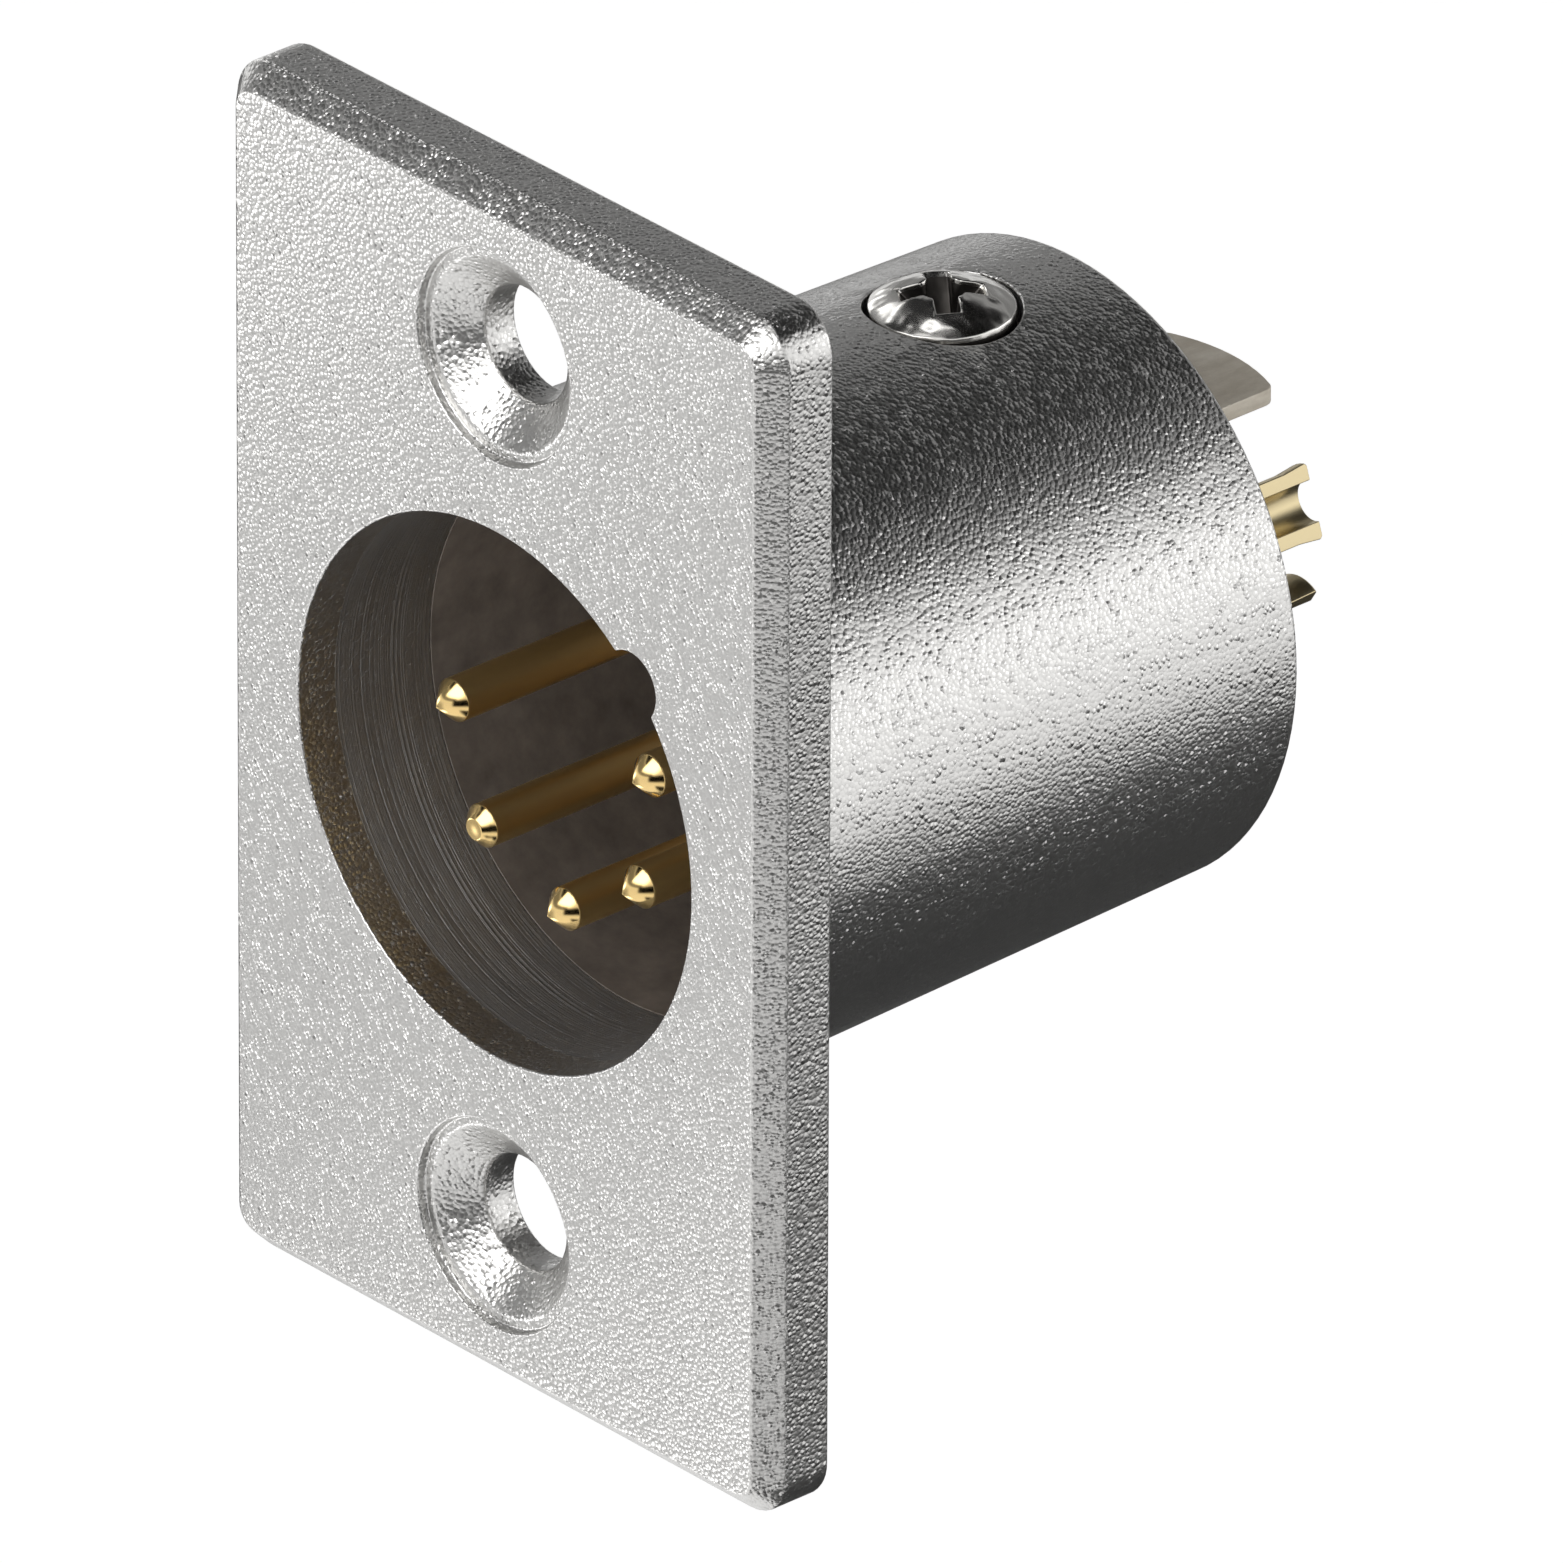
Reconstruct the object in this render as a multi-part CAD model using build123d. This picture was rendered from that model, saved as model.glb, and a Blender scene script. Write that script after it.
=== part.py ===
from build123d import *
import os
from math import cos, radians, sin, sqrt, tan

# Microphone panel connector: a five-pin round plug on a rectangular flange.
# The origin is midway between the two mounting holes, on the back face of the flange,
# which lies against the panel. +Y is the connector's axis, towards the rear, and +Z is up.
# All sizes are in millimetres, and angles in degrees.

# Flange
flange_width = 26.5
flange_height = 43.1
flange_thickness = 2.7
flange_corner_radius = 1.6
flange_bevel = 0.8
flange_back_bevel = 0.1

# Mounting holes: a shallow counterbore at the face, then the countersink
hole_spacing = 31.5
hole_radius = 2.0
countersink_width = 1.32
countersink_end_depth = 1.4
counterbore_ledge = 0.36
counterbore_depth = 0.32

# Socket
socket_radius = 9.5
socket_depth = 15.0
keyway_radius = 1.2
keyway_centre_inset = 0.25
keyway_angle = 44.75
catch_width = 4.4
catch_length = 2.4
catch_depth = 1.1
catch_to_insert = 0.7

# Insert: a moulded cup that lines the deep part of the socket, with a thick base
insert_front_depth = 5.7
insert_wall = 0.6
insert_fit = 0.05
insert_base = 8.5
insert_rear_recess = 1.4
insert_rim_width = 2.45
insert_well_depth = 0.8

# Barrel, which narrows towards its rear end as a casting does
barrel_end_wall = 0.9
barrel_draft = 1.3
barrel_end_bevel = 0.12
barrel_root_bevel = 0.35

# Contacts, on a circle with places left open at the top
contact_count = 5
contact_steps = 7
contact_circle_radius = 4.9
contact_turn = 6.3
contact_tip_depth = 1.85
contact_fit = 0.02
pin_radius = 0.75
pin_tip_length = 0.75
blunt_contact = 4
blunt_tip_cut = 0.38
pin_root_step = 0.2
pin_root_length = 2.0
contact_body_radius = 1.2
cup_reach = 6.4
cup_wall = 0.5
cup_flare = 0.1
cup_flare_length = 1.0
cup_opening_length = 5.0
cup_closed_length = 1.5
cup_opening_past_axis = 0.1
cup_end_chamfer = 0.1

# Ground tab: a flat strip with a tapped collar under the screw
tab_width = 5.3
tab_thickness = 0.6
tab_top_height = 4.95
tab_reach = 7.0
tab_end_radius = 6.4
tab_corner_radius = 0.45
tab_ahead_of_screw = 2.3
tab_fit = 0.05
collar_wall = 0.5
collar_height = 1.0

# Retaining screw, in the top of the barrel over the middle of the insert's base
screw_radius = 1.25
screw_fit = 0.03
screw_head_radius = 2.42
screw_head_sink = 0.07
screw_hole_gap = 0.18
screw_pocket_gap = 0.1
screw_pocket_depth = 0.45
screw_dome_height = 0.7
screw_end_below_tab = 1.3
recess_span = 3.3
recess_slot_width = 0.8
recess_depth = 1.4
recess_tip_span = 1.0
recess_centre_radius = 0.8
recess_turn = 57.0

# How far a cutter runs past the surface that it opens
overshoot = 1.0


def place(depth):
    """Y of a plane that lies this deep behind the front face of the flange."""
    return depth - flange_thickness


def contact_angle(number):
    """Contacts run clockwise as seen from the front, with the middle one at the bottom."""
    middle = (contact_count + 1) / 2
    return -90 + contact_turn + (middle - number) * 360 / contact_steps


# Places along the axis that several pieces share
front_face = place(0)
insert_front = place(insert_front_depth)
socket_floor = place(socket_depth)
insert_rear = socket_floor + insert_base
barrel_end = insert_rear + insert_rear_recess
pin_root_end = socket_floor + pin_root_length
cup_end = barrel_end + cup_reach
screw_y = socket_floor + insert_base / 2
tab_start = screw_y - tab_ahead_of_screw

# Radii and heights that follow from the sizes above
insert_seat_radius = socket_radius + insert_wall
insert_radius = insert_seat_radius - insert_fit
barrel_end_radius = insert_seat_radius + barrel_end_wall
barrel_root_radius = barrel_end_radius + barrel_end * tan(radians(barrel_draft))
barrel_radius_at_screw = barrel_root_radius - screw_y * tan(radians(barrel_draft))
countersink_radius = hole_radius + countersink_width
counterbore_radius = countersink_radius + counterbore_ledge
pin_root_radius = pin_radius + pin_root_step
cup_mouth_radius = contact_body_radius + cup_flare
tab_bottom_height = tab_top_height - tab_thickness
collar_radius = screw_radius + collar_wall
screw_rim_height = barrel_radius_at_screw - screw_head_sink
screw_top_height = screw_rim_height + screw_dome_height
screw_seat_height = insert_radius - screw_pocket_depth
screw_end_height = tab_bottom_height - screw_end_below_tab


def across(y):
    """A plane across the connector's axis, with its own x along X and its y along Z."""
    return Plane(origin=(0, y, 0), x_dir=(1, 0, 0), z_dir=(0, -1, 0))


def lengthwise(shape_2d, start, end):
    """Extrudes a sketch along the connector's axis, from one Y to another."""
    return extrude(across(start) * shape_2d, amount=start - end)


def turned(points):
    """Revolves a closed profile of (radius, y) points about the connector's axis."""
    return revolve(make_face(Polyline(*points, close=True)), axis=Axis.Y)


def upright(radius, low, high):
    """A round bar along the retaining screw's axis, from one height to another."""
    return Pos(0, screw_y, (low + high) / 2) * Cylinder(radius, high - low)


def contact_place(number):
    """Moves a piece from the connector's axis to the axis of one contact."""
    angle = radians(contact_angle(number))
    return Pos(contact_circle_radius * cos(angle), 0, contact_circle_radius * sin(angle))


def flange():
    body = lengthwise(RectangleRounded(flange_width, flange_height, flange_corner_radius), front_face, 0)
    body = chamfer(body.faces().sort_by(Axis.Y)[0].edges(), flange_bevel)
    return chamfer(body.faces().sort_by(Axis.Y)[-1].edges(), flange_back_bevel)


def barrel():
    inside_flange = front_face / 2
    outline = [
        (0, inside_flange),
        (barrel_root_radius + barrel_root_bevel, inside_flange),
        (barrel_root_radius + barrel_root_bevel, 0),
        (barrel_root_radius, barrel_root_bevel),
        (barrel_end_radius, barrel_end - barrel_end_bevel),
        (barrel_end_radius - barrel_end_bevel, barrel_end),
        (0, barrel_end),
    ]
    return turned(outline)


def mounting_hole():
    """Cutter for one hole: counterbore, countersink cone and clearance hole."""
    outline = [
        (0, front_face - overshoot),
        (counterbore_radius, front_face - overshoot),
        (counterbore_radius, place(counterbore_depth)),
        (countersink_radius, place(counterbore_depth)),
        (hole_radius, place(countersink_end_depth)),
        (hole_radius, overshoot),
        (0, overshoot),
    ]
    return turned(outline)


def socket_bore():
    """Cutter for the socket and, behind it, the wider seat of the insert."""
    outline = [
        (0, front_face - overshoot),
        (socket_radius, front_face - overshoot),
        (socket_radius, insert_front),
        (insert_seat_radius, insert_front),
        (insert_seat_radius, barrel_end + overshoot),
        (0, barrel_end + overshoot),
    ]
    return turned(outline)


def keyway(start):
    """Cutter for the round groove that the mating key slides in."""
    angle = radians(keyway_angle)
    radius = socket_radius - keyway_centre_inset
    groove = Pos(radius * cos(angle), radius * sin(angle)) * Circle(keyway_radius)
    return lengthwise(groove, start, socket_floor)


def latch_catch():
    """Cutter for the blind pocket at the top of the socket that the mating latch drops into."""
    top = socket_radius + catch_depth
    middle = insert_front - catch_to_insert - catch_length / 2
    return Pos(0, middle, top / 2) * Box(catch_width, catch_length, top)


def shell():
    body = flange() + barrel()
    body -= socket_bore()
    body -= keyway(front_face - overshoot)
    body -= latch_catch()
    for side in (-1, 1):
        body -= Pos(0, 0, side * hole_spacing / 2) * mounting_hole()
    return body - upright(screw_head_radius + screw_hole_gap, 0, barrel_root_radius + overshoot)


def insert_body():
    """The moulded cup and its thick base, before anything is let into it."""
    outline = [
        (0, socket_floor),
        (socket_radius, socket_floor),
        (socket_radius, insert_front),
        (insert_radius, insert_front),
        (insert_radius, insert_rear),
        (insert_radius - insert_rim_width, insert_rear),
        (insert_radius - insert_rim_width, insert_rear - insert_well_depth),
        (0, insert_rear - insert_well_depth),
    ]
    return turned(outline)


def contact_hole():
    """Cutter for the place of one contact, which the insert is moulded around."""
    root = pin_root_radius + contact_fit
    body = contact_body_radius + contact_fit
    outline = [
        (0, socket_floor - overshoot),
        (root, socket_floor - overshoot),
        (root, pin_root_end),
        (body, pin_root_end),
        (body, insert_rear + overshoot),
        (0, insert_rear + overshoot),
    ]
    return turned(outline)


def tab_slot():
    """Cutter for the slot of the ground tab, with a groove below for its collar."""
    slot_height = tab_thickness + tab_fit
    groove_height = collar_height + tab_fit
    slot = Rectangle(tab_width + 2 * tab_fit, slot_height)
    groove = Rectangle(2 * (collar_radius + tab_fit), groove_height)
    # The screw draws the tab up against the top of its slot
    slot = Pos(0, tab_top_height - slot_height / 2) * slot
    groove = Pos(0, tab_bottom_height - groove_height / 2) * groove
    end = insert_rear + overshoot
    groove_start = screw_y - collar_radius - tab_fit
    return lengthwise(slot, tab_start - tab_fit, end) + lengthwise(groove, groove_start, end)


def screw_passage():
    """Cutter for the screw: a flat-bottomed pocket for its head, and a hole past the tab."""
    pocket = upright(screw_head_radius + screw_pocket_gap, screw_seat_height, insert_radius + overshoot)
    return pocket + upright(screw_radius + screw_fit, screw_end_height - screw_fit, insert_radius)


def insert():
    body = insert_body() - keyway(insert_front - overshoot)
    for number in range(1, contact_count + 1):
        body -= contact_place(number) * contact_hole()
    return body - tab_slot() - screw_passage()


def cup_cutter():
    """Cutter for the bore of a solder cup and for the side that stands open, towards +X."""
    start = cup_end - cup_opening_length
    bore = Circle(contact_body_radius - cup_wall)
    bore = lengthwise(bore, start - cup_closed_length, cup_end + overshoot)
    width = 2 * cup_mouth_radius
    side = Pos(cup_opening_past_axis + width / 2, 0) * Rectangle(width, width)
    return bore + lengthwise(side, start, cup_end + overshoot)


def contact(number):
    """One turned contact: pin with a conical tip, thicker body and half-open solder cup."""
    tip = place(contact_tip_depth)
    outline = [
        (0, tip),
        (pin_radius, tip + pin_tip_length),
        (pin_radius, socket_floor),
        (pin_root_radius, socket_floor),
        (pin_root_radius, pin_root_end),
        (contact_body_radius, pin_root_end),
        (contact_body_radius, cup_end - cup_flare_length),
        (cup_mouth_radius, cup_end - cup_end_chamfer),
        (cup_mouth_radius - cup_end_chamfer, cup_end),
        (0, cup_end),
    ]
    body = turned(outline)
    if number == blunt_contact:
        body -= Pos(0, tip, 0) * Box(2 * pin_radius, 2 * blunt_tip_cut, 2 * pin_radius)
    # The open side of each cup faces away from the connector's axis
    body = Rot(0, -contact_angle(number), 0) * (body - cup_cutter())
    return contact_place(number) * body


def ground_tab():
    """A flat strip with a rounded tail, and the tapped collar that is drawn down from it."""
    tail_end = barrel_end + tab_reach
    half_width = tab_width / 2
    side_end = tail_end - tab_end_radius + sqrt(tab_end_radius**2 - half_width**2)
    sides = Polyline(
        (-half_width, side_end),
        (-half_width, tab_start),
        (half_width, tab_start),
        (half_width, side_end),
    )
    tail = ThreePointArc((half_width, side_end), (0, tail_end), (-half_width, side_end))
    strip = make_face(sides + tail)
    strip = fillet(strip.vertices().sort_by(Axis.Y)[-2:], tab_corner_radius)
    body = extrude(Plane.XY.offset(tab_bottom_height) * strip, amount=tab_thickness)
    body += upright(collar_radius, tab_bottom_height - collar_height, tab_bottom_height)
    return body - upright(screw_radius, screw_end_height, tab_top_height + overshoot)


def cross_recess():
    """Cutter for the cross in the screw's head: two slots and a cone that narrow downwards."""
    profile = Polyline(
        (-recess_span / 2, overshoot),
        (recess_span / 2, overshoot),
        (recess_span / 2, 0),
        (recess_tip_span / 2, -recess_depth),
        (-recess_tip_span / 2, -recess_depth),
        (-recess_span / 2, 0),
        close=True,
    )
    slot = extrude(Plane.XZ * make_face(profile), amount=recess_slot_width / 2, both=True)
    cone = Cone(recess_slot_width / 2, recess_centre_radius, recess_depth)
    middle = Pos(0, 0, -recess_depth / 2) * cone
    return Rot(0, 0, recess_turn) * (slot + Rot(0, 0, 90) * slot + middle)


def retaining_screw():
    """Domed head with a cross recess, and a shank that ends below the tapped collar."""
    dome_radius = (screw_head_radius**2 + screw_dome_height**2) / (2 * screw_dome_height)
    half_radius = screw_head_radius / 2
    half_height = screw_top_height - dome_radius + sqrt(dome_radius**2 - half_radius**2)
    dome = ThreePointArc(
        (screw_head_radius, 0, screw_rim_height), (half_radius, 0, half_height), (0, 0, screw_top_height)
    )
    rest = Polyline(
        (0, 0, screw_top_height),
        (0, 0, screw_end_height),
        (screw_radius, 0, screw_end_height),
        (screw_radius, 0, screw_seat_height),
        (screw_head_radius, 0, screw_seat_height),
        (screw_head_radius, 0, screw_rim_height),
    )
    body = revolve(make_face(dome + rest), axis=Axis.Z)
    body -= Pos(0, 0, screw_top_height) * cross_recess()
    return Pos(0, screw_y, 0) * body


def main():
    os.makedirs("parts", exist_ok=True)
    pieces = {
        "shell": shell(),
        "insert": insert(),
        "ground_tab": ground_tab(),
        "retaining_screw": retaining_screw(),
    }
    for number in range(1, contact_count + 1):
        pieces[f"contact_{number}"] = contact(number)
    for name, piece in pieces.items():
        export_step(piece, f"parts/{name}.step")


main()
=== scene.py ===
"""Dresses the solids of a microphone panel connector: rounded edges, metal and plastic
finishes, and the studio in which it stands. Lengths are in metres unless a name says mm."""

import math
from typing import NamedTuple

import bpy
import numpy as np
from mathutils import Matrix, Vector


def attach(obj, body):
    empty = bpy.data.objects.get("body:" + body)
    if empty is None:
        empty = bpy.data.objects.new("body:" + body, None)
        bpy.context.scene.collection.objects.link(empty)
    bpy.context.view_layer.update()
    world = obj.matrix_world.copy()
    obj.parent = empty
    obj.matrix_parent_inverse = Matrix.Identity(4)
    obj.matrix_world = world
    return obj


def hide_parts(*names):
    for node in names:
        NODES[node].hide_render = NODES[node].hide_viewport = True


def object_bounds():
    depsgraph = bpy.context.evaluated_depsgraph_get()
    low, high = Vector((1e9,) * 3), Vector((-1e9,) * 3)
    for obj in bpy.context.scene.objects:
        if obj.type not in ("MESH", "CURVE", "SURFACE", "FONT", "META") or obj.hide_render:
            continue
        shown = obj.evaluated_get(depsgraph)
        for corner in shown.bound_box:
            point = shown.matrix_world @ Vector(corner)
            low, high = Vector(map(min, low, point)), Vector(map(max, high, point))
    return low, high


bl_info = {
    "name": "Microphone Panel Connector",
    "version": (1, 0, 0),
    "blender": (4, 5, 0),
    "location": "3D View > Sidebar > Connector",
    "description": "Rounds the connector's edges, gives its pieces their finishes and sets the studio",
    "category": "Object",
}

MM = 0.001

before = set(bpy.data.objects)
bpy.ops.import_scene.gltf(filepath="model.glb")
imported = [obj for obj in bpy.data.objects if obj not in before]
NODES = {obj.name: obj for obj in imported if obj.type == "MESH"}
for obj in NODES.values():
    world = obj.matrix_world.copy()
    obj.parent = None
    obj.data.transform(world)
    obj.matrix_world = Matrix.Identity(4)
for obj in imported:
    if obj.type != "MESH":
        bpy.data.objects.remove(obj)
CAD_BOX = [list(corner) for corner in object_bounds()]
CONTACTS = sorted(name for name in NODES if name.startswith("contact_"))
# The socket's wall, with its keyway, lies within this distance of its axis, and the bolt holes
# outside it.
SOCKET_REACH = 10.9 * MM
# Corners of a CAD mesh that lie nearer to each other than this are one corner.
SAME_CORNER = 0.0005 * MM
# Faces that meet at a smaller angle than the first are one flat face, and those that meet at a
# larger one than the second have an edge that is rounded.
FLAT_WITHIN = math.radians(0.5)
EDGE_FROM = math.radians(30)


def linear(hex_colour):
    """Turns an sRGB colour such as #8090A0 into the linear values that Blender's colours hold, by
    the standard's curve: a straight line for the darkest tones and a power for the rest."""
    channels = np.array([int(hex_colour[i : i + 2], 16) for i in (1, 3, 5)]) / 255
    low, high = channels / 12.92, ((channels + 0.055) / 1.055) ** 2.4
    return tuple(float(value) for value in np.where(channels <= 0.04045, low, high))


def colour(name, hex_colour):
    """A colour property with its default given in sRGB."""
    return bpy.props.FloatVectorProperty(
        name=name,
        description=f"Colour of the {name.lower()}",
        default=linear(hex_colour),
        subtype="COLOR",
        min=0,
        max=1,
    )


def length(name, description, millimetres):
    """A length property with its default given in millimetres."""
    default = millimetres * MM
    return bpy.props.FloatProperty(name=name, description=description, default=default, unit="LENGTH")


def fraction(name, description, default):
    """A property from 0 to 1."""
    return bpy.props.FloatProperty(name=name, description=description, default=default, min=0, max=1)


def angle(name, description, degrees):
    """An angle property with its default given in degrees."""
    default = math.radians(degrees)
    return bpy.props.FloatProperty(name=name, description=description, default=default, unit="ROTATION")


class ConnectorEdges(bpy.types.PropertyGroup):
    """How far the edges of each piece are rounded"""

    shell: length("Shell edges", "Rounding of the casting's edges", 0.09)
    insert: length("Insert edges", "Rounding of the moulding's edges", 0.03)
    contacts: length("Contact edges", "Rounding of the turned contacts' edges", 0.04)
    ground_tab: length("Tab edges", "Rounding of the punched strip's edges", 0.06)
    retaining_screw: length("Screw edges", "Rounding of the screw's edges", 0.07)
    steps: bpy.props.IntProperty(
        name="Steps",
        description="Faces across each rounded edge",
        default=3,
        min=1,
    )


class ConnectorFinish(bpy.types.PropertyGroup):
    """Colours, roughness and grain of the finishes"""

    nickel: colour("Nickel plate", "#D1D0CE")
    nickel_roughness: fraction("Nickel roughness", "Roughness of the nickel over the cast skin", 0.28)
    # A die casting is tumbled before it is plated, which leaves grains of 0.1 to 0.2 mm in its skin.
    grain: length("Grain", "Width of the grains in the casting's skin", 0.16)
    grain_height: length("Grain height", "Height of a middling grain in the casting's skin", 0.015)
    grain_spread: bpy.props.FloatProperty(
        name="Grain spread",
        description="How many times higher than a middling grain the steepest one is",
        default=4.0,
        min=1,
    )
    waviness: length("Waviness", "Width of the slow waves under the grain", 1.2)
    wave_height: length("Wave height", "Height of the slow waves under the grain", 0.02)
    fall_width: length("Fall width", "How far from the flange's edges its face begins to fall off", 1.3)
    fall: length("Fall", "How far the flange's face has fallen off at its edges", 0.06)
    turned: colour("Turned bore", "#B8B9BB")
    turned_roughness: fraction("Turned roughness", "Roughness of the nickel over the turned bore", 0.42)
    cast_mouth: length("Cast mouth", "Depth to which the socket's mouth is left as cast", 1.6)
    # The tool moves on by about 0.1 mm a turn. Its real marks are microns high, too low to show
    # in a render, so these are drawn higher.
    tool_marks: length("Tool marks", "Spacing of the turning marks in the socket", 0.1)
    mark_height: length("Tool mark height", "Height of the turning marks", 0.05)
    mark_share: fraction("Tool mark share", "Share of marks, not grains, in the turned skin's height", 0.7)
    tool_step: length("Tool step", "Height of the burr where the turning begins", 0.03)
    moulding: colour("Black moulding", "#2A2623")
    cloud: colour("Moulding's cloud", "#756C64")
    cloud_size: length("Cloud size", "Width of the pale clouds in the moulding's skin", 1.4)
    moulding_roughness: fraction("Moulding roughness", "Roughness of the moulding's skin", 0.45)
    gold: colour("Gold plate", "#E8C98A")
    flash: colour("Gold flash", "#CDBE98")
    tip_roughness: fraction("Tip roughness", "Roughness of the pins' polished tips", 0.14)
    rod_roughness: fraction("Rod roughness", "Roughness of the rods and the solder cups", 0.34)
    polished_to: length("Polished to", "How far behind the panel's front the pins' polish ends", -0.1)
    plated_to: length("Plated to", "How far behind the panel's front their thick gold ends", 18.0)
    tin: colour("Tin plate", "#FFFAF0")
    tin_roughness: fraction("Tin roughness", "Roughness of the clean tin plate", 0.6)
    tarnish: colour("Tarnished tin", "#BFB6A6")
    tarnish_roughness: fraction("Tarnish roughness", "Roughness of the tarnished tin", 0.9)
    tarnish_size: length("Tarnish size", "Width of the clouds of tarnish on the tin", 0.9)
    tin_relief: length("Tin relief", "Height of the tin's soft unevenness", 0.04)
    bright_nickel: colour("Bright nickel", "#D8D6D2")
    bright_roughness: fraction("Bright nickel roughness", "Roughness of the screw's bright nickel", 0.22)
    lumps: length("Lumps", "Width of the soft lumps in the screw's head", 0.9)
    lump_height: length("Lump height", "Height of the soft lumps in the screw's head", 0.12)
    dome: length("Dome", "Rise of the screw's head from its rim to its top", 0.7)
    # Painted shade: deeper than struck_from below the dome, the walls of the screw's cross are coloured
    # darker for the shade in its recess. They are also rougher.
    painted_shade_cross: colour("Struck cross's painted shade", "#524F4C")
    struck_roughness: fraction("Struck roughness", "Roughness of the struck cross's walls", 0.4)
    struck_from: length("Struck from", "Depth below the dome from which the cross is dull", 0.1)


class ConnectorStudio(bpy.types.PropertyGroup):
    """The camera's place, and the distances of the floor and the panels"""

    azimuth: angle("Azimuth", "Camera's turn about the vertical, from the connector's front", 48.133)
    elevation: angle("Elevation", "Camera's height above the horizon", 28.039)
    roll: angle("Roll", "Camera's turn about its own axis", 0.228)
    distance: length("Distance", "From the camera to its aim", 1280.0)
    aim: bpy.props.FloatVectorProperty(
        name="Aim",
        description="The point in the middle of the picture",
        default=(0.006005, 0.004315, 0.000394),
        unit="LENGTH",
    )
    lens: bpy.props.FloatProperty(name="Lens", description="Focal length", default=921.3, unit="CAMERA")
    floor_drop: length("Floor drop", "From the middle of the connector down to the floor", 340.0)
    floor_size: length("Floor size", "Width of the floor", 4000.0)
    panel_distance: length("Panel distance", "From the connector to the farthest panel", 300.0)
    panel_step: length("Panel step", "How much nearer each next panel stands", 8.0)


class StudioPanel(NamedTuple):
    """A softbox or a flag: where its middle stands, how wide and high it looks, how far its edge
    fades, all in degrees, its brightness, of which white paper in plain light has 1, and whether
    it shows in metal or lights what is matt."""

    name: str
    azimuth: float
    elevation: float
    width: float
    height: float
    fade: float
    brightness: float
    lights: str = "metal"


# Brightness of the plain light all round, of which the white background has 1.
PLAIN_LIGHT = 0.8
# Colour of the floor's white paper.
PAPER = linear("#F4F4F4")

# The nearer ones come later. What none of them covers shows the white background.
STUDIO_PANELS = (
    StudioPanel("Overhead flag", azimuth=215, elevation=65, width=325, height=70, fade=10, brightness=0.0),
    StudioPanel("Grey back wall", azimuth=260, elevation=18, width=250, height=38, fade=8, brightness=0.24),
    StudioPanel("Key softbox", azimuth=120, elevation=10, width=55, height=55, fade=10, brightness=1.25),
    StudioPanel("Key lamp", azimuth=148, elevation=8, width=30, height=22, fade=8, brightness=2.8),
    StudioPanel("Front flag", azimuth=58, elevation=-6, width=105, height=42, fade=12, brightness=0.0),
    StudioPanel("Low side flag", azimuth=155, elevation=-52, width=140, height=62, fade=8, brightness=0.04),
    StudioPanel("Low back flag", azimuth=225, elevation=-24, width=115, height=41, fade=8, brightness=0.0),
    StudioPanel("Back softbox", azimuth=262, elevation=8, width=32, height=24, fade=8, brightness=1.4),
    StudioPanel("Top softbox", azimuth=335, elevation=80, width=50, height=40, fade=10, brightness=1.4),
    StudioPanel("Zenith lamp", azimuth=238, elevation=77, width=60, height=9, fade=3, brightness=4.0),
    StudioPanel("Back lamp", azimuth=262, elevation=42, width=18, height=14, fade=4, brightness=3.5),
    StudioPanel("Screw lamp", azimuth=250, elevation=14, width=18, height=14, fade=4, brightness=3.4),
    StudioPanel("Front card", azimuth=312, elevation=-28, width=60, height=50, fade=15, brightness=0.51),
    StudioPanel("Front lamp", azimuth=312, elevation=-29, width=9, height=7, fade=3, brightness=2.4),
    StudioPanel("Left lamp", azimuth=302, elevation=-13, width=26, height=20, fade=8, brightness=4.4),
    StudioPanel("Low left lamp", azimuth=319, elevation=-45, width=28, height=18, fade=6, brightness=3.9),
    StudioPanel("Low front flag", azimuth=60, elevation=-60, width=60, height=50, fade=10, brightness=0.0),
    StudioPanel("Front softbox", azimuth=2, elevation=37, width=80, height=52, fade=14, brightness=3.4),
    StudioPanel(
        "Front fill", azimuth=0, elevation=0, width=80, height=80, fade=10, brightness=4.8, lights="matt"
    ),
)


def add(tree, kind, inputs=None, **settings):
    """Adds a shader node. Inputs hold a value or another node's socket, and settings its properties."""
    node = tree.nodes.new("ShaderNode" + kind)
    for name, value in settings.items():
        setattr(node, name, value)
    for name, value in (inputs or {}).items():
        if isinstance(value, bpy.types.NodeSocket):
            tree.links.new(value, node.inputs[name])
        else:
            node.inputs[name].default_value = value
    return node


def empty_material(name):
    """A material without nodes, and its node tree."""
    material = bpy.data.materials.new(name)
    material.use_nodes = True
    material.node_tree.nodes.clear()
    return material, material.node_tree


def cast_grains(tree, place, finish):
    """Height of the grains in metres. Each cell of a Voronoi pattern is a cone, whose slope grows
    from one to grain_spread times the least with the cube of a random number, so that a few of the
    grains are steep, and those sparkle."""
    cells = add(tree, "TexVoronoi", {"Vector": place, "Scale": 1 / finish.grain})
    chance = add(tree, "SeparateColor", {"Color": cells.outputs["Color"]}).outputs["Red"]
    steep = add(tree, "Math", {0: chance, 1: 3.0}, operation="POWER").outputs[0]
    times = {0: steep, 1: finish.grain_spread - 1, 2: 1.0}
    tall = add(tree, "Math", times, operation="MULTIPLY_ADD").outputs[0]
    slope = add(tree, "Math", {0: cells.outputs["Distance"], 1: tall}, operation="MULTIPLY").outputs[0]
    return add(tree, "Math", {0: slope, 1: -finish.grain_height}, operation="MULTIPLY").outputs[0]


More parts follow.
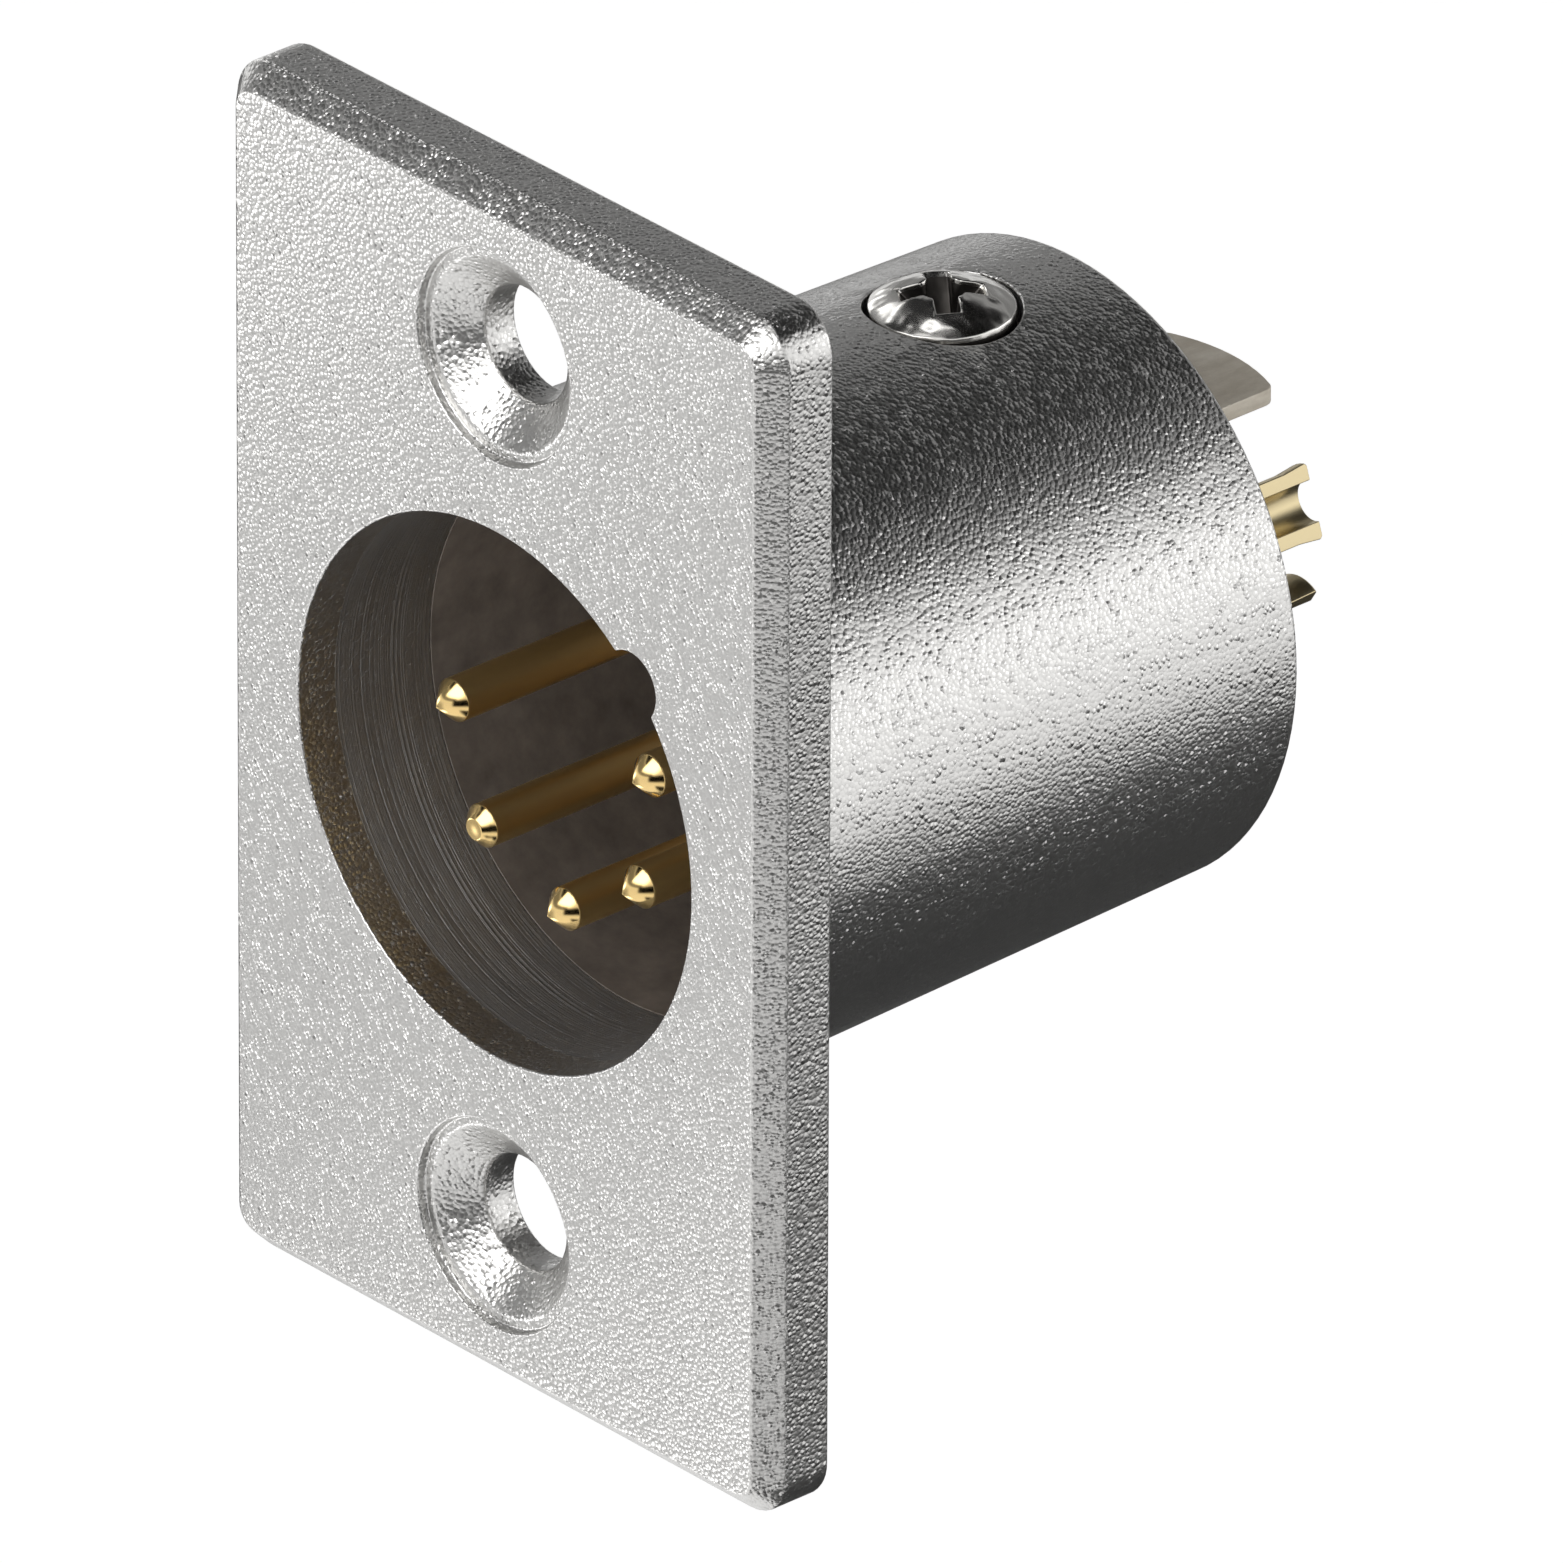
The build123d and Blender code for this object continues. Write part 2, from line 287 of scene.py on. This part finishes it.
def uneven_face(tree, place, finish):
    """Normal of the skin under the grains: slow waves, and a fall by a parabola over the last
    stretch before the flange's nearest edge."""
    noise = add(tree, "TexNoise", {"Vector": place, "Scale": 1 / finish.waviness, "Detail": 1.0})
    waves = add(tree, "Bump", {"Height": noise.outputs["Fac"], "Distance": finish.wave_height})
    sides = add(tree, "VectorMath", {0: place}, operation="ABSOLUTE").outputs[0]
    inside = add(tree, "VectorMath", {0: tuple(CAD_BOX[1]), 1: sides}, operation="SUBTRACT").outputs[0]
    gaps = add(tree, "SeparateXYZ", {0: inside}).outputs
    nearest = add(tree, "Math", {0: gaps["X"], 1: gaps["Z"]}, operation="MINIMUM").outputs[0]
    edge = {"Value": nearest, "From Min": 0.0, "From Max": finish.fall_width, "To Min": 1.0, "To Max": 0.0}
    near = add(tree, "MapRange", edge).outputs[0]
    parabola = add(tree, "Math", {0: near, 1: 2.0}, operation="POWER").outputs[0]
    fall = {"Height": parabola, "Distance": -finish.fall, "Normal": waves.outputs["Normal"]}
    return add(tree, "Bump", fall).outputs["Normal"]


def turned_part(tree, place, depth, finish):
    """1 where the socket is turned, which is behind its cast mouth, and 0 elsewhere."""
    across = add(tree, "VectorMath", {0: place, 1: (1.0, 0.0, 1.0)}, operation="MULTIPLY").outputs[0]
    radius = add(tree, "VectorMath", {0: across}, operation="LENGTH").outputs["Value"]
    within = add(tree, "Math", {0: radius, 1: SOCKET_REACH}, operation="LESS_THAN").outputs[0]
    turned_from = CAD_BOX[0][1] + finish.cast_mouth
    behind = add(tree, "Math", {0: depth, 1: turned_from}, operation="GREATER_THAN").outputs[0]
    return add(tree, "Math", {0: within, 1: behind}, operation="MULTIPLY").outputs[0]


def turning_marks(tree, depth, finish):
    """Height of the tool's rings in metres: noise that changes with the depth alone."""
    lines = {"W": depth, "Scale": 1 / finish.tool_marks, "Detail": 2.0}
    marks = add(tree, "TexNoise", lines, noise_dimensions="1D").outputs["Fac"]
    rings = {0: marks, 1: finish.mark_height, 2: finish.tool_step}
    return add(tree, "Math", rings, operation="MULTIPLY_ADD").outputs[0]


def grained_nickel(finish):
    """Satin nickel plate over a zinc pressure die casting. The casting's skin is left grained, so
    the light grey metal breaks into fine sparkling grains, and slow waves under them break up long
    reflections. Behind the cast mouth the socket is turned, which leaves fine rings."""
    material, tree = empty_material("Satin nickel on zinc die casting")
    place = add(tree, "TexCoord").outputs["Object"]
    depth = add(tree, "SeparateXYZ", {0: place}).outputs["Y"]
    turned = turned_part(tree, place, depth, finish)
    marked = add(tree, "Math", {0: turned, 1: finish.mark_share}, operation="MULTIPLY").outputs[0]
    grains, rings = cast_grains(tree, place, finish), turning_marks(tree, depth, finish)
    skin = add(tree, "Mix", {"Factor": marked, "A": grains, "B": rings}).outputs["Result"]
    # The height comes in metres, so its distance is one metre.
    height = {"Height": skin, "Distance": 1.0, "Normal": uneven_face(tree, place, finish)}
    gloss = {"Factor": turned, "A": finish.nickel_roughness, "B": finish.turned_roughness}
    tones = {"Factor": turned, "A": (*finish.nickel, 1.0), "B": (*finish.turned, 1.0)}
    inputs = {
        "Base Color": add(tree, "Mix", tones, data_type="RGBA").outputs["Result"],
        "Metallic": 1.0,
        "Roughness": add(tree, "Mix", gloss).outputs["Result"],
        "Normal": add(tree, "Bump", height).outputs["Normal"],
    }
    shader = add(tree, "BsdfPrincipled", inputs)
    add(tree, "OutputMaterial", {"Surface": shader.outputs["BSDF"]})
    return material


def black_moulding(finish):
    """Black glass-filled polyester, injection moulded: a smooth dark skin with a low gloss, a
    little clouded where the glass fibres come near it."""
    material, tree = empty_material("Black glass-filled polyester moulding")
    place = add(tree, "TexCoord").outputs["Object"]
    noise = {"Vector": place, "Scale": 1 / finish.cloud_size, "Detail": 5.0, "Roughness": 0.7}
    clouds = add(tree, "TexNoise", noise).outputs["Fac"]
    tones = {"Factor": clouds, "A": (*finish.moulding, 1.0), "B": (*finish.cloud, 1.0)}
    tone = add(tree, "Mix", tones, data_type="RGBA").outputs["Result"]
    shader = add(tree, "BsdfPrincipled", {"Base Color": tone, "Roughness": finish.moulding_roughness})
    add(tree, "OutputMaterial", {"Surface": shader.outputs["BSDF"]})
    return material


def gold_plate(finish):
    """Selective gold plate over turned brass: the pins have it thick and warm, with polished tips
    that mirror the lamps and rods left satin by the turning, and the solder cups behind have a
    thin flash of it, which is paler."""
    material, tree = empty_material("Selective gold plate on turned brass")
    place = add(tree, "TexCoord").outputs["Object"]
    depth = add(tree, "SeparateXYZ", {0: place}).outputs["Y"]
    flashed = add(tree, "Math", {0: depth, 1: finish.plated_to}, operation="GREATER_THAN").outputs[0]
    satin = add(tree, "Math", {0: depth, 1: finish.polished_to}, operation="GREATER_THAN").outputs[0]
    gloss = {"Factor": satin, "A": finish.tip_roughness, "B": finish.rod_roughness}
    tones = {"Factor": flashed, "A": (*finish.gold, 1.0), "B": (*finish.flash, 1.0)}
    inputs = {
        "Base Color": add(tree, "Mix", tones, data_type="RGBA").outputs["Result"],
        "Metallic": 1.0,
        "Roughness": add(tree, "Mix", gloss).outputs["Result"],
    }
    shader = add(tree, "BsdfPrincipled", inputs)
    add(tree, "OutputMaterial", {"Surface": shader.outputs["BSDF"]})
    return material


def tin_plate(finish):
    """Matt tin plate over rolled brass strip: a warm grey without a clear reflection, tarnished in
    soft clouds, which are drawn out to 2.5 times their width along the strip as it was rolled."""
    material, tree = empty_material("Tin plate on rolled strip")
    place = add(tree, "TexCoord").outputs["Object"]
    drawn_out = add(tree, "VectorMath", {0: place, 1: (1.0, 0.4, 1.0)}, operation="MULTIPLY").outputs[0]
    noise = {"Vector": drawn_out, "Scale": 1 / finish.tarnish_size, "Detail": 5.0, "Roughness": 0.65}
    clean = add(tree, "TexNoise", noise).outputs["Fac"]
    uneven = add(tree, "Bump", {"Height": clean, "Distance": finish.tin_relief})
    gloss = {"Factor": clean, "A": finish.tarnish_roughness, "B": finish.tin_roughness}
    tones = {"Factor": clean, "A": (*finish.tarnish, 1.0), "B": (*finish.tin, 1.0)}
    inputs = {
        "Base Color": add(tree, "Mix", tones, data_type="RGBA").outputs["Result"],
        "Metallic": 1.0,
        "Roughness": add(tree, "Mix", gloss).outputs["Result"],
        "Normal": uneven.outputs["Normal"],
    }
    shader = add(tree, "BsdfPrincipled", inputs)
    add(tree, "OutputMaterial", {"Surface": shader.outputs["BSDF"]})
    return material


def bright_nickel(finish):
    """Bright nickel plate over a cold-headed steel screw: a mirror finish that is slightly uneven.
    The walls of the struck cross are duller, and they are coloured darker as painted shade for the shade in
    the recess."""
    material, tree = empty_material("Bright nickel on headed screw")
    place = add(tree, "TexCoord").outputs["Object"]
    # The head's top is the cap of a ball, whose radius follows from the cap's own radius and rise.
    # The cross has taken its highest point away, so the ball lies a little low in the box.
    box = np.array(NODES["retaining_screw"].bound_box)
    low, high = box.min(axis=0), box.max(axis=0)
    rim = (high[0] - low[0]) / 2
    ball = (rim**2 + finish.dome**2) / (2 * finish.dome)
    middle = (*((low + high) / 2)[:2], high[2] - ball)
    radius = add(tree, "VectorMath", {0: place, 1: middle}, operation="DISTANCE").outputs["Value"]
    # Points deeper than struck_from below the dome are the cross's walls. They get a darker colour as
    # painted shade of the recess, and a duller roughness.
    inner = {0: radius, 1: ball - finish.struck_from}
    painted_shade_cross = add(tree, "Math", inner, operation="LESS_THAN").outputs[0]
    lumps = add(tree, "TexNoise", {"Vector": place, "Scale": 1 / finish.lumps, "Detail": 1.0})
    uneven = add(tree, "Bump", {"Height": lumps.outputs["Fac"], "Distance": finish.lump_height})
    gloss = {"Factor": painted_shade_cross, "A": finish.bright_roughness, "B": finish.struck_roughness}
    tones = {"Factor": painted_shade_cross, "A": (*finish.bright_nickel, 1.0), "B": (*finish.painted_shade_cross, 1.0)}
    inputs = {
        "Base Color": add(tree, "Mix", tones, data_type="RGBA").outputs["Result"],
        "Metallic": 1.0,
        "Roughness": add(tree, "Mix", gloss).outputs["Result"],
        "Normal": uneven.outputs["Normal"],
    }
    shader = add(tree, "BsdfPrincipled", inputs)
    add(tree, "OutputMaterial", {"Surface": shader.outputs["BSDF"]})
    return material


def rounded(node_name, radius, steps, material):
    """Puts in a CAD node's place a copy of its solid, with its doubles merged, its flat faces made
    whole and its edges rounded."""
    node = NODES[node_name]
    mesh = node.data.copy()
    mesh.name = f"{node_name}_rounded"
    mesh.attributes.remove(mesh.attributes["custom_normal"])
    mesh.shade_smooth()
    mesh.materials.clear()
    mesh.materials.append(material)
    piece = bpy.data.objects.new(f"{node_name}_finished", mesh)
    bpy.context.scene.collection.objects.link(piece)
    weld = piece.modifiers.new("Merge doubles", "WELD")
    weld.merge_threshold = SAME_CORNER
    flat = piece.modifiers.new("Whole faces", "DECIMATE")
    flat.decimate_type = "DISSOLVE"
    flat.angle_limit = FLAT_WITHIN
    edge = piece.modifiers.new("Rounded edges", "BEVEL")
    edge.width = radius
    edge.segments = steps
    edge.limit_method = "ANGLE"
    edge.angle_limit = EDGE_FROM
    edge.use_clamp_overlap = False
    normals = piece.modifiers.new("Even shading", "WEIGHTED_NORMAL")
    normals.keep_sharp = False
    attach(piece, "root")
    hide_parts(node_name)


class CONNECTOR_OT_shell(bpy.types.Operator):
    """Round the casting's edges and give it its grained nickel plate"""

    bl_idname = "connector.shell"
    bl_label = "Shell"

    def execute(self, context):
        edges, finish = context.scene.connector_edges, context.scene.connector_finish
        rounded("shell", edges.shell, edges.steps, grained_nickel(finish))
        return {"FINISHED"}


class CONNECTOR_OT_insert(bpy.types.Operator):
    """Round the moulding's edges and give it its black plastic"""

    bl_idname = "connector.insert"
    bl_label = "Insert"

    def execute(self, context):
        edges, finish = context.scene.connector_edges, context.scene.connector_finish
        rounded("insert", edges.insert, edges.steps, black_moulding(finish))
        return {"FINISHED"}


class CONNECTOR_OT_contacts(bpy.types.Operator):
    """Round the contacts' edges and give them their gold plate"""

    bl_idname = "connector.contacts"
    bl_label = "Contacts"

    def execute(self, context):
        edges, finish = context.scene.connector_edges, context.scene.connector_finish
        gold = gold_plate(finish)
        for name in CONTACTS:
            rounded(name, edges.contacts, edges.steps, gold)
        return {"FINISHED"}


class CONNECTOR_OT_ground_tab(bpy.types.Operator):
    """Round the ground tab's edges and give it its tin plate"""

    bl_idname = "connector.ground_tab"
    bl_label = "Ground tab"

    def execute(self, context):
        edges, finish = context.scene.connector_edges, context.scene.connector_finish
        rounded("ground_tab", edges.ground_tab, edges.steps, tin_plate(finish))
        return {"FINISHED"}


class CONNECTOR_OT_retaining_screw(bpy.types.Operator):
    """Round the screw's edges and give it its bright nickel plate"""

    bl_idname = "connector.retaining_screw"
    bl_label = "Retaining screw"

    def execute(self, context):
        edges, finish = context.scene.connector_edges, context.scene.connector_finish
        rounded("retaining_screw", edges.retaining_screw, edges.steps, bright_nickel(finish))
        return {"FINISHED"}


def outwards(azimuth, elevation):
    """The direction at an azimuth from the connector's front, towards +X, and an elevation above
    the horizon."""
    level = np.cos(elevation)
    return np.stack([np.sin(azimuth) * level, -np.cos(azimuth) * level, np.sin(elevation)], axis=-1)


def shows_background(tree):
    """1 for rays that come from the camera, or through a reflection or a clear piece."""
    path = add(tree, "LightPath").outputs
    seen = add(tree, "Math", {0: path["Is Camera Ray"], 1: path["Is Glossy Ray"]}, operation="MAXIMUM")
    both = {0: seen.outputs[0], 1: path["Is Transmission Ray"]}
    return add(tree, "Math", both, operation="MAXIMUM").outputs[0]


def white_world():
    """A white background for what the camera and reflections see, and a soft light for the rest."""
    world = bpy.data.worlds.new("White background")
    bpy.context.scene.world = world
    world.use_nodes = True
    tree = world.node_tree
    tree.nodes.clear()
    light = add(tree, "Background", {"Color": (1, 1, 1, 1), "Strength": PLAIN_LIGHT})
    white = add(tree, "Background", {"Color": (1, 1, 1, 1), "Strength": 1.0})
    both = add(tree, "MixShader", {0: shows_background(tree), 1: light.outputs[0], 2: white.outputs[0]})
    add(tree, "OutputWorld", {"Surface": both.outputs[0]})


def surface(name, points, material, attributes=None):
    """A sheet of four-sided faces through a grid of points, with values kept at its points."""
    rows, columns = points.shape[:2]
    corner = np.arange(rows * columns).reshape(rows, columns)
    faces = np.stack([corner[:-1, :-1], corner[:-1, 1:], corner[1:, 1:], corner[1:, :-1]], axis=-1)
    mesh = bpy.data.meshes.new(name)
    mesh.from_pydata(points.reshape(-1, 3), [], faces.reshape(-1, 4))
    for key, values in (attributes or {}).items():
        mesh.attributes.new(key, "FLOAT", "POINT").data.foreach_set("value", values.ravel())
    mesh.materials.append(material)
    sheet = bpy.data.objects.new(name, mesh)
    bpy.context.scene.collection.objects.link(sheet)
    return sheet


def eased(share):
    """Goes from 0 to 1 while the share does, as three times its square less twice its cube, and
    stays level outside."""
    share = np.clip(share, 0, 1)
    return share * share * (3 - 2 * share)


def panel_light(panel):
    """Woven diffusion cloth or black velvet: an even glow, or none, that fades out at the edge."""
    material, tree = empty_material(panel.name)
    fade = add(tree, "Attribute", attribute_name="fade").outputs["Fac"]
    clear = add(tree, "BsdfTransparent").outputs[0]
    glow = add(tree, "Emission", {"Strength": panel.brightness}).outputs[0]
    both = add(tree, "MixShader", {0: fade, 1: clear, 2: glow})
    add(tree, "OutputMaterial", {"Surface": both.outputs[0]})
    return material


def studio_panel(panel, distance):
    """A patch of a sphere round the connector. Across it goes the azimuth and up it the elevation,
    and its fade is the product of two eased ramps, which start at its sides and at its ends."""
    steps = 40
    right = np.linspace(-panel.width / 2, panel.width / 2, steps)[None, :]
    up = np.linspace(-panel.height / 2, panel.height / 2, steps)[:, None]
    turn, rise = np.broadcast_arrays(np.radians(panel.azimuth + right), np.radians(panel.elevation + up))
    across = eased((panel.width / 2 - abs(right)) / panel.fade)
    fade = across * eased((panel.height / 2 - abs(up)) / panel.fade)
    sheet = surface(panel.name, distance * outwards(turn, rise), panel_light(panel), {"fade": fade})
    sheet.visible_camera = False
    sheet.visible_diffuse = panel.lights == "matt"
    sheet.visible_glossy = panel.lights == "metal"
    sheet.visible_shadow = False


def floor_paper():
    """Matt white background paper, which keeps the shadows that fall on it. For the camera and
    reflections it also glows with what the plain light lacks of white."""
    material, tree = empty_material("Matt white background paper")
    matt = add(tree, "BsdfDiffuse", {"Color": (*PAPER, 1.0)}).outputs[0]
    glow = add(tree, "Emission", {"Strength": 1 - PLAIN_LIGHT * PAPER[0]}).outputs[0]
    white = add(tree, "AddShader", {0: matt, 1: glow}).outputs[0]
    both = add(tree, "MixShader", {0: shows_background(tree), 1: matt, 2: white})
    add(tree, "OutputMaterial", {"Surface": both.outputs[0]})
    return material


def pale_floor(studio):
    """A level square under the connector."""
    side = np.linspace(-studio.floor_size / 2, studio.floor_size / 2, 2)
    points = np.stack(np.meshgrid(side, side, [-studio.floor_drop]), axis=-1)
    surface("Floor", points.reshape(2, 2, 3), floor_paper())


def place_camera(studio):
    """Looks from the photograph's side along the direction outwards(azimuth, elevation)."""
    back = Vector(outwards(np.array(studio.azimuth), np.array(studio.elevation)))
    right = Vector((math.cos(studio.azimuth), math.sin(studio.azimuth), 0))
    turn = Matrix((right, back.cross(right), back)).transposed().to_4x4()
    data = bpy.data.cameras.new("Camera")
    data.lens = studio.lens
    data.clip_end = 3 * studio.distance
    camera = bpy.data.objects.new("Camera", data)
    camera.matrix_world = Matrix.Translation(Vector(studio.aim) + back * studio.distance) @ turn
    camera.matrix_world = camera.matrix_world @ Matrix.Rotation(studio.roll, 4, "Z")
    bpy.context.scene.collection.objects.link(camera)
    bpy.context.scene.camera = camera


class CONNECTOR_OT_stage(bpy.types.Operator):
    """Set the white studio, its panels and the camera"""

    bl_idname = "connector.stage"
    bl_label = "Stage"

    def execute(self, context):
        scene, studio = context.scene, context.scene.connector_studio
        white_world()
        pale_floor(studio)
        for place, panel in enumerate(STUDIO_PANELS):
            studio_panel(panel, studio.panel_distance - place * studio.panel_step)
        place_camera(studio)
        scene.view_settings.view_transform = "Standard"
        return {"FINISHED"}


class CONNECTOR_PT_panel(bpy.types.Panel):
    """Lists the connector's pieces, sizes and finishes"""

    bl_idname = "CONNECTOR_PT_panel"
    bl_label = "Connector"
    bl_space_type = "VIEW_3D"
    bl_region_type = "UI"
    bl_category = "Connector"

    def draw(self, context):
        for operator in OPERATORS:
            self.layout.operator(operator.bl_idname)
        scene = context.scene
        for group in (scene.connector_edges, scene.connector_finish, scene.connector_studio):
            box = self.layout.box()
            for name in group.bl_rna.properties.keys():
                if name not in ("rna_type", "name"):
                    box.prop(group, name)


OPERATORS = (
    CONNECTOR_OT_shell,
    CONNECTOR_OT_insert,
    CONNECTOR_OT_contacts,
    CONNECTOR_OT_ground_tab,
    CONNECTOR_OT_retaining_screw,
    CONNECTOR_OT_stage,
)
CLASSES = (ConnectorEdges, ConnectorFinish, ConnectorStudio, *OPERATORS, CONNECTOR_PT_panel)


def register():
    for cls in CLASSES:
        bpy.utils.register_class(cls)
    bpy.types.Scene.connector_edges = bpy.props.PointerProperty(type=ConnectorEdges)
    bpy.types.Scene.connector_finish = bpy.props.PointerProperty(type=ConnectorFinish)
    bpy.types.Scene.connector_studio = bpy.props.PointerProperty(type=ConnectorStudio)


def unregister():
    del bpy.types.Scene.connector_studio
    del bpy.types.Scene.connector_finish
    del bpy.types.Scene.connector_edges
    for cls in reversed(CLASSES):
        bpy.utils.unregister_class(cls)


def main():
    """Dresses the pieces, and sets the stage."""
    register()
    bpy.ops.connector.shell()
    bpy.ops.connector.insert()
    bpy.ops.connector.contacts()
    bpy.ops.connector.ground_tab()
    bpy.ops.connector.retaining_screw()
    bpy.ops.connector.stage()


if __name__ == "__main__":
    main()
